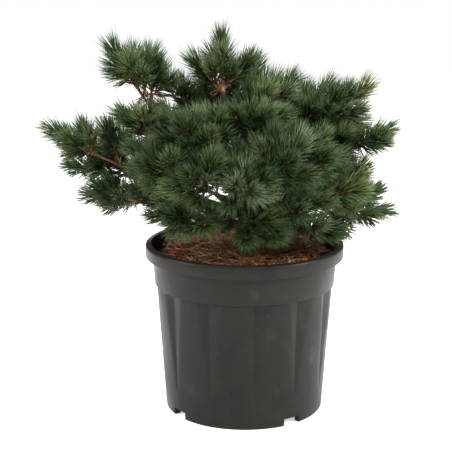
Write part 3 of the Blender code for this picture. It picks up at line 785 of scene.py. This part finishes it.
# %% Bough bark
# Each mass: bearing, reach and height of its lead bud, the bud's slope in degrees, the height at which its
# limb leaves the trunk, the share of the limb that is bare bough, and how many side shoots it has.
Mass = collections.namedtuple("Mass", "bearing reach height slope leaves bare shoots")
MASSES = {
    "upper_left": (-90, 0.203, 0.576, 62, 0.345, 0.55, 4),
    "upper_left_inner": (-114, 0.146, 0.536, 62, 0.400, 0.0, 3),
    "left_front": (-66, 0.198, 0.484, 42, 0.365, 0.32, 3),
    "left_arm": (-84, 0.296, 0.455, 32, 0.322, 0.38, 4),
    "left_low": (-94, 0.273, 0.392, 6, 0.300, 0.38, 3),
    "left_foot": (-83, 0.240, 0.354, 4, 0.283, 0.34, 3),
    "left_front_low": (-46, 0.201, 0.423, 24, 0.335, 0.32, 4),
    "upper_front_left": (-35, 0.160, 0.479, 46, 0.388, 0.26, 3),
    "mid_front_left": (-23, 0.195, 0.412, 26, 0.318, 0.32, 3),
    "low_front_left": (-36, 0.173, 0.344, 4, 0.292, 0.30, 3),
    "upper_front": (-21, 0.118, 0.485, 52, 0.418, 0.0, 3),
    "mid_front": (-4, 0.191, 0.401, 14, 0.338, 0.32, 4),
    "low_front": (1, 0.155, 0.318, -12, 0.302, 0.28, 3),
    "right_front_low": (26, 0.178, 0.357, 4, 0.310, 0.32, 4),
    "mid_front_right": (20, 0.181, 0.432, 28, 0.362, 0.30, 4),
    "upper_front_right": (16, 0.104, 0.487, 50, 0.435, 0.0, 3),
    "upper_right": (90, 0.067, 0.527, 58, 0.462, 0.0, 3),
    "right_top_inner": (111, 0.138, 0.512, 52, 0.425, 0.0, 3),
    "right_top": (96, 0.186, 0.514, 46, 0.392, 0.32, 4),
    "right_arm": (87, 0.217, 0.453, 26, 0.356, 0.34, 4),
    "right_front": (42, 0.175, 0.432, 22, 0.346, 0.30, 3),
    "right_low_front": (59, 0.194, 0.378, 14, 0.326, 0.32, 3),
    "right_low": (85, 0.216, 0.328, 2, 0.298, 0.34, 3),
    "right_foot": (70, 0.149, 0.301, -8, 0.284, 0.0, 2),
    "back_top": (175, 0.110, 0.545, 60, 0.448, 0.0, 3),
    "back_left": (-138, 0.205, 0.465, 36, 0.372, 0.32, 4),
    "back_right": (138, 0.200, 0.460, 36, 0.378, 0.32, 4),
    "back": (178, 0.215, 0.430, 28, 0.350, 0.32, 4),
    "back_low_left": (-122, 0.215, 0.365, 12, 0.312, 0.32, 4),
    "back_low_right": (122, 0.200, 0.355, 12, 0.316, 0.32, 4),
    "back_low": (172, 0.190, 0.330, 0, 0.292, 0.32, 3),
}
MASSES = {name: Mass(*row) for name, row in MASSES.items()}


def bough_rings(row):
    """The bark of one bare bough: its limb's path and taper, a collar that swells as exp(-distance), and
    ridges."""
    start, bend, bud, outward, root = limb_curve(row)
    shares = np.linspace(0, row.bare + BOUGH_LAP, BOUGH_ROWS)
    path = bezier(start, bend, bud, shares)
    path[0] += outward * ROOT_SHIFT
    walked = np.concatenate([[0], np.cumsum(np.linalg.norm(np.diff(path, axis=0), axis=1))])
    radii = limb_radius(root, shares) * (1 + COLLAR_SWELL * np.exp(-walked / COLLAR_LONG))
    rings = tube_points(path, radii, BOUGH_SIDES)
    relief = ridges(rings, BARK_DEEP * 0.6)
    return rings + relief[..., None] * unit(rings - path[:, None])


bare_boughs = {f"bough_{name}": row for name, row in MASSES.items() if row.bare}
bark_parts = [closed_tube(bough_rings(row)) for row in bare_boughs.values()]
smooth_piece("boughs_bark", gathered(bark_parts), BARK, bare_boughs)

# %% [markdown]
# ## How the crown branches
# Each mass has one stem. Its side shoots are chosen by a seeded rule: some directions are drawn, those that
# would touch a limb, another mass or the pot are dropped, and the one with the most room round its end is
# kept. The same rule and the same draws as in the frame give the same shoots again.

# %% The growth rule
SEED = 17
SHOOT_LENGTH = (0.050, 0.070)
SIDE_PLACE = (0.12, 0.92)  # where a side shoot may leave its stem's twig, as a share of it
SIDE_TURN = 135  # degrees that it may be turned round the stem, either way from straight up
DIVERGE = (38, 52)  # degrees between a stem and its side shoot
UPTURN = 0.55  # how strongly a side shoot turns up to the light
TRIES = 24  # directions weighed for each side shoot
ROOM = 0.0145  # least distance between the shoots of two masses
OWN_ROOM = 1.1  # how much room from its own mass counts against room from the others
LIMB_ROOM = 0.006  # least distance from a side shoot to the bark of the trunk and the boughs
RIM_ROOM, LIP_ROOM, SIDE_ROOM = 0.002, 0.012, 0.004  # least distance above the rim, inside it and outside it
LITTER_ROOM = 0.004  # least distance above the heaped litter
POINT_STEP = 0.005  # spacing of the points at which distances are measured
SPRAY_LENGTH = 0.046  # how much of a shoot's end carries needles
NEEDLE_LENGTH = 0.040
OUTLINE_HEIGHT = 0.44  # masses with their bud above this make the crown's upper outline
HEADROOM = 0.030  # how far a side shoot of the lower masses may rise above its lead bud
LEADER_BUD = np.array([-0.037, 0.0, 0.590])
LEADER_SHOOTS = ((0.06, -90), (0.10, 80))  # place on its stem and bearing of its two side shoots
LEADER_SIDE = 0.056  # length of those
CORE_MOST, CORE_RUN = 0.8, 0.06  # the most of a shoot that its core takes, and the straight run before it


def twig_point(stem, share):
    """The point at this share of the stem's bare twig, before its core, and the direction there."""
    path = stem["path"][:-1]
    spot = share * (len(path) - 1)
    k = min(int(spot), len(path) - 2)
    return path[k] + (path[k + 1] - path[k]) * (spot - k), unit(path[k + 1] - path[k])


def side_direction(stem, share, turn, diverge):
    """The direction at this angle off the stem, turned round it from straight up."""
    _, along = twig_point(stem, share)
    side = unit(np.cross(along, UP + np.array([0.05, 0, 0])))
    lift = np.cross(side, along)
    turn, diverge = math.radians(turn), math.radians(diverge)
    outward = lift * math.cos(turn) + side * math.sin(turn)
    return unit(along * math.cos(diverge) + outward * math.sin(diverge))


def nearest(points, others):
    """For each point, its distance to the nearest of the others."""
    return np.linalg.norm(points[:, None] - others[None], axis=2).min(axis=1)


def dense(path):
    """Points every few millimetres along a path."""
    found = [path[:1]]
    for a, b in zip(path[:-1], path[1:]):
        count = max(1, int(np.linalg.norm(b - a) / POINT_STEP))
        found.append(a + (b - a) * (np.arange(1, count + 1) / count)[:, None])
    return np.concatenate(found)


def limb_spheres():
    """Points down the middle of the trunk and of every bough, with the radius at each."""
    heights = np.arange(TRUNK_FOOT[2], TRUNK_TIP[2], 0.004)
    centres = [np.array([trunk_centre(h) for h in heights])]
    radii = [np.array([trunk_radius(h) + flare(h) for h in heights])]
    for row in MASSES.values():
        if row.bare:
            start, bend, bud, _, root = limb_curve(row)
            shares = np.linspace(0, row.bare, 30)
            centres.append(bezier(start, bend, bud, shares))
            radii.append(limb_radius(root, shares))
    return np.concatenate(centres), np.concatenate(radii)


LIMBS, THICKNESS = limb_spheres()


def bark_room(points):
    """The least distance from these points to the bark of the trunk and the bare boughs."""
    return (np.linalg.norm(points[:, None] - LIMBS[None], axis=2) - THICKNESS[None]).min()


def over_the_pot(points):
    """Whether every point is above the rim, or above the soil inside it, or out past the rim."""
    reach = np.hypot(points[:, 0], points[:, 1])
    above = points[:, 2] > POT_HEIGHT + RIM_ROOM
    inside = (reach < RIM_LIP - LIP_ROOM) & (points[:, 2] > SOIL_TOP + HEAP + LITTER_ROOM)
    outside = (reach > RIM_RADIUS + SIDE_ROOM) & (points[:, 2] > POT_HEIGHT - RIM_BAND)
    return bool((above | inside | outside).all())


def shoot(path, radii):
    """A shoot as its path and radii. Its last stretch is straight: the core that its needles stand out of."""
    start = 1 - min(SPRAY_LENGTH / path_length(path), CORE_MOST)
    at = np.append(np.linspace(0, start - CORE_RUN, max(2, len(path) - 3)), [start, 1.0])
    return {"path": read_path(path, at), "radii": np.interp(at, np.linspace(0, 1, len(path)), radii)}


def lead_shoot(row):
    """The stem of a mass: its limb's path from the end of the bare bough to the lead bud."""
    start, bend, bud, _, root = limb_curve(row)
    length = path_length(bezier(start, bend, bud, np.linspace(0, 1, 20)))
    shares = np.linspace(row.bare + GAP / length if row.bare else 0.0, 1, 8 if row.bare else 9)
    return shoot(bezier(start, bend, bud, shares), limb_radius(root, shares))


def leader_shoot():
    """The stem of the leader's mass, which stands on the trunk's flat tip."""
    foot = TRUNK_TIP + UP * GAP
    bend = (foot + LEADER_BUD) / 2 + np.array([0.003, 0, 0])
    path = bezier(foot, bend, LEADER_BUD, np.linspace(0, 1, 6))
    return shoot(path, np.linspace(TRUNK_TIP_RADIUS - 0.0006, TWIG_RADIUS, 6))


def side_shoot(stem, share, direction, length):
    """A side shoot: it leaves the stem's twig in this direction and turns up towards the light."""
    foot, _ = twig_point(stem, share)
    tip_direction = unit(direction + UP * UPTURN)
    bend = foot + direction * length / 2
    curve = bezier(foot, bend, bend + tip_direction * length / 2, np.linspace(0, 1, 5))
    return shoot(curve, np.linspace(TWIG_RADIUS * 1.2, TWIG_RADIUS, 5))


def all_points(axes, besides):
    """Points along the shoots of every mass but this one."""
    return np.concatenate([dense(each["path"]) for name in axes if name != besides for each in axes[name]])


def roomiest(stem, draw, tries, places, lengths, room_of):
    """Of some side shoots drawn for a stem, the one with the most room, which is 0 where it may not grow."""
    best, best_room = None, 0.0
    for _ in range(tries):
        share = draw.uniform(*places)
        turned = draw.uniform(-SIDE_TURN, SIDE_TURN)
        direction = side_direction(stem, share, turned, draw.uniform(*DIVERGE))
        made = side_shoot(stem, share, direction, draw.uniform(*lengths))
        room = room_of(made)
        if room > best_room:
            best, best_room = made, room
    return best


def next_shoot(axes, name, row, draw):
    """The next side shoot of a mass: clear of bark, other masses and the pot, within its lead bud's reach."""
    own = np.concatenate([dense(each["path"]) for each in axes[name]])
    rest = all_points(axes, name)
    highest = row.height + (0 if row.height > OUTLINE_HEIGHT else HEADROOM)

    def room_of(made):
        line = dense(made["path"])
        outer = line[len(line) // 2 :]
        needle_tip = outer[-1] + unit(outer[-1] - outer[0]) * NEEDLE_LENGTH * 0.5
        blocked = bark_room(line) < LIMB_ROOM or nearest(line, rest).min() < ROOM
        too_far = line[-1][2] > highest or math.hypot(*line[-1][:2]) > row.reach
        if blocked or too_far or not over_the_pot(np.vstack([outer, needle_tip])):
            return 0.0
        return min(nearest(outer, rest).min(), nearest(outer[-2:], own).min() * OWN_ROOM)

    return roomiest(axes[name][0], draw, TRIES, SIDE_PLACE, SHOOT_LENGTH, room_of)


def grow_shoots():
    """The shoots of every mass: its stem first, then its side shoots, mass by mass in turn."""
    draw = np.random.default_rng(SEED)
    axes = {"leader": [leader_shoot()]}
    axes.update({name: [lead_shoot(row)] for name, row in MASSES.items()})
    for share, bearing in LEADER_SHOOTS:
        direction = unit(place(bearing, 1, 0.75))
        axes["leader"].append(side_shoot(axes["leader"][0], share, direction, LEADER_SIDE))
    for turn in range(max(row.shoots for row in MASSES.values())):
        for name, row in MASSES.items():
            found = next_shoot(axes, name, row, draw) if turn < row.shoots else None
            if found is not None:
                axes[name].append(found)
    return axes


axes = grow_shoots()
print("shoots:", sum(len(each) for each in axes.values()))

# %% [markdown]
# The rule is then carried one step further. Every shoot gets up to two finer twigs that stay nearer to their
# own mass than to any other, and within its reach.

# %% Finer twigs
FINE_TURNS = 2
FINE_TRIES = 12
FINE_LENGTH = (0.026, 0.040)
FINE_PLACE = (0.30, 0.98)
FINE_SPREAD = 0.026  # how far a finer twig's end may be from its mass's own shoots
FINE_ROOM = 0.004  # least distance to bark, and how much nearer it stays to its own mass than to another
FINE_HIGHER, FINE_FURTHER = 0.004, 0.002  # how far its bud may go above and out past its mass's buds


def fine_twigs(axes):
    """For each mass, its finer twigs: one for every shoot in turn, and round again."""
    draw = np.random.default_rng(SEED + 5)
    found = {name: [] for name in axes}
    for name, shoots in axes.items():
        rest = all_points(axes, name)
        own = np.concatenate([dense(each["path"]) for each in shoots])
        highest = max(each["path"][-1][2] for each in shoots) + FINE_HIGHER
        furthest = max(math.hypot(*each["path"][-1][:2]) for each in shoots) + FINE_FURTHER
        taken = own.copy()

        def room_of(made):
            outer = dense(made["path"])[-4:]
            too_far = outer[-1][2] > highest or math.hypot(*outer[-1][:2]) > furthest
            if too_far or not over_the_pot(outer) or bark_room(outer) < FINE_ROOM:
                return 0.0
            to_own = nearest(outer, own)
            if to_own.max() > FINE_SPREAD or (nearest(outer, rest) < to_own + FINE_ROOM).any():
                return 0.0
            return nearest(outer[-2:], taken).min()

        for stem in shoots * FINE_TURNS:
            twig = roomiest(stem, draw, FINE_TRIES, FINE_PLACE, FINE_LENGTH, room_of)
            if twig is not None:
                found[name].append(twig)
                taken = np.vstack([taken, dense(twig["path"])])
    return found


fine = fine_twigs(axes)
print("finer twigs:", sum(len(each) for each in fine.values()))

# %% [markdown]
# ## Twigs and buds
# Twigs are slim tubes along those paths, orange brown, and pale tan on the leader, which grew last summer.
# Each ends in a pointed bud of overlapping scales, here a small turned form. Each kind is one piece.

# %% Twigs
TWIG_RINGS, TWIG_SIDES = 14, 7
WANDER, KNOTS = 0.0008, 0.10  # how far a twig strays from its path, and the share that knots add to it
FINE_THICK, LEADER_THICK = 0.8, 1.15  # thickness of finer twigs and of the leader's, against the others
BUD_LONG, BUD_WIDE, BUD_RINGS, BUD_SIDES = 0.0085, 0.0021, 7, 7


def twig_rings(each, thickness=1.0):
    """A tube along a shoot's path, read at even shares, with small knots where needles were shed."""
    even = np.linspace(0, 1, TWIG_RINGS)
    path = read_path(each["path"], even)
    path[1:-1] += WANDER * np.stack([field(path[1:-1] + k, 0.012) for k in range(3)], axis=1)
    thick = np.interp(even, np.linspace(0, 1, len(each["radii"])), each["radii"])
    radii = thick * thickness * (1 + KNOTS * field(path, 0.003))
    return tube_points(path, radii, TWIG_SIDES)


def bud_rings(path, draw):
    """A bud at a path's end: radius = width * sin(pi share^0.7) up to a point."""
    share = np.linspace(0.02, 0.995, BUD_RINGS)
    long = BUD_LONG * draw.uniform(0.8, 1.2)
    path = path[-1] + unit(path[-1] - path[-2]) * (share * long - 0.001)[:, None]
    return tube_points(path, BUD_WIDE * np.sin(math.pi * share**0.7) + 0.0002, BUD_SIDES)


draw = np.random.default_rng(SEED + 6)
every = [each for name in axes for each in axes[name] + fine[name]]
wood = {
    "twigs": (TWIG, [twig_rings(each) for name in axes for each in axes[name] if name != "leader"]),
    "young_twigs": (TWIG, [twig_rings(each, FINE_THICK) for name in fine for each in fine[name]]),
    "leader_twigs": (FRESH, [twig_rings(each, LEADER_THICK) for each in axes["leader"]]),
    "buds": (BUD, [bud_rings(each["path"], draw) for each in every]),
}
for name, (skin, rings) in wood.items():
    smooth_piece(name, gathered([closed_tube(each) for each in rings]), skin)

# %% [markdown]
# ## Sprays
# White pine needles grow in bundles of five, set round the shoot by the golden angle. Those low on the shoot
# stand out widest, and those at its end point forward, which makes each tuft a star. Each spray takes one of
# the needle finishes.

# %% Sprays
GOLDEN = 137.508
OFF_UP = UP + np.array([0.05, 0.02, 0])  # no needle points exactly this way
BUNDLES, FINE_BUNDLES = 38, 21
LEAN = (58, 16)  # degrees off the shoot at the spray's foot and at its end
SPLAY = (4, 10)  # degrees between a needle and its bundle's middle
NEEDLE_LONG = (0.032, 0.041)
SPRAY_FOOT = 0.25  # share of a finer twig that is bare
FINE_LONG, OLD_LONG = 0.92, 0.85  # length of the needles on finer twigs and of dead ones, against the others


def bundles(foot, tip, count, draw):
    """Feet and directions of a spray's bundles: bundle k lies at share (k / (count - 1))^0.8 of the spray,
    turned k golden angles, and leans evenly less towards the end."""
    along = unit(tip - foot)
    side = unit(np.cross(along, OFF_UP))
    share = (np.arange(count) / (count - 1)) ** 0.8
    turn = np.radians(np.arange(count) * GOLDEN + draw.normal(0, 9, count) + draw.uniform(0, 360))
    lean = np.radians(LEAN[0] + (LEAN[1] - LEAN[0]) * share + draw.normal(0, 6, count))
    out = spun(turn, side, np.cross(side, along))
    return foot + (tip - foot) * share[:, None] + out * 0.001, spun(lean, along, out), along


def five_needles(feet, headings, along, long, draw):
    """Every bundle's five needles: headings turned off the bundle's middle in five directions, and bent a
    little towards the shoot's end."""
    count = len(feet)
    first = unit(np.cross(headings, OFF_UP))
    turn = draw.uniform(0, 2 * math.pi, count)[:, None] + turns(5)
    splay = np.radians(draw.uniform(*SPLAY, (count, 5)))
    off = spun(turn, first[:, None], np.cross(headings, first)[:, None])
    heading = spun(splay, headings[:, None], off)
    total = count * 5
    length = draw.uniform(*NEEDLE_LONG, total) * long
    width = NEEDLE_WIDTH * draw.uniform(0.85, 1.1, total)
    bend = along * draw.uniform(-0.02, 0.12, total)[:, None] + draw.normal(0, 0.03, (total, 3))
    foot = np.repeat(feet, 5, axis=0)
    return foot, heading.reshape(-1, 3), off.reshape(-1, 3), length, width, bend


def spray(each, count, long, bare, draw):
    """The needles of one shoot: on the straight end of its path, or past its bare share."""
    tip = each["path"][-1]
    foot = each["path"][-2] if bare is None else tip + (each["path"][0] - tip) * (1 - bare)
    return five_needles(*bundles(foot, tip, count, draw), long, draw)


draw = np.random.default_rng(SEED + 7)
sprays = {tint: [] for tint in TINTS}
for name in axes:
    for each in axes[name]:
        tint = draw.choice(list(TINTS), p=TINT_SHARES)
        sprays[tint].append(spray(each, BUNDLES, 1.0, None, draw))
    for each in fine[name]:
        tint = draw.choice(list(TINTS), p=TINT_SHARES)
        sprays[tint].append(spray(each, FINE_BUNDLES, FINE_LONG, SPRAY_FOOT, draw))

# %% [markdown]
# Inside the crown some old needles are dead and still hang on the bare twigs, rust, tan and brown.

# %% Dead needles
OLD_BUNDLES = 6
OLD_SHARES = (0.5, 0.25, 0.25)
INNER = 0.165  # only shoots whose bud is nearer than this to the upright axis carry them

old_needles = {kind: [] for kind in DEAD}
for name in axes:
    for each in axes[name]:
        line = dense(each["path"][:-1])
        if len(line) < 4 or math.hypot(*each["path"][-1][:2]) > INNER:
            continue
        feet = line[draw.integers(1, len(line), OLD_BUNDLES)]
        heading = unit(draw.normal(0, 1, (OLD_BUNDLES, 3)) * (1, 1, 0.5) - UP * 0.5)
        kind = draw.choice(list(DEAD), p=OLD_SHARES)
        old_needles[kind].append(five_needles(feet, heading, -UP, OLD_LONG, draw))

# %% Needle pieces
MOST_TRIANGLES = 190000

for tint, lots in sprays.items():
    total = sum(len(lot[0]) for lot in lots) * len(NEEDLE_FACES)
    pieces = math.ceil(total / MOST_TRIANGLES)
    for k in range(pieces):
        share = lots[k * len(lots) // pieces : (k + 1) * len(lots) // pieces]
        needle_piece(f"needles_{tint}_{k + 1}", share, TINTS[tint])
for kind, lots in old_needles.items():
    needle_piece(f"dead_needles_{kind}", lots, [DEAD[kind]])
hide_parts(*[f"mass_{name}" for name in axes])
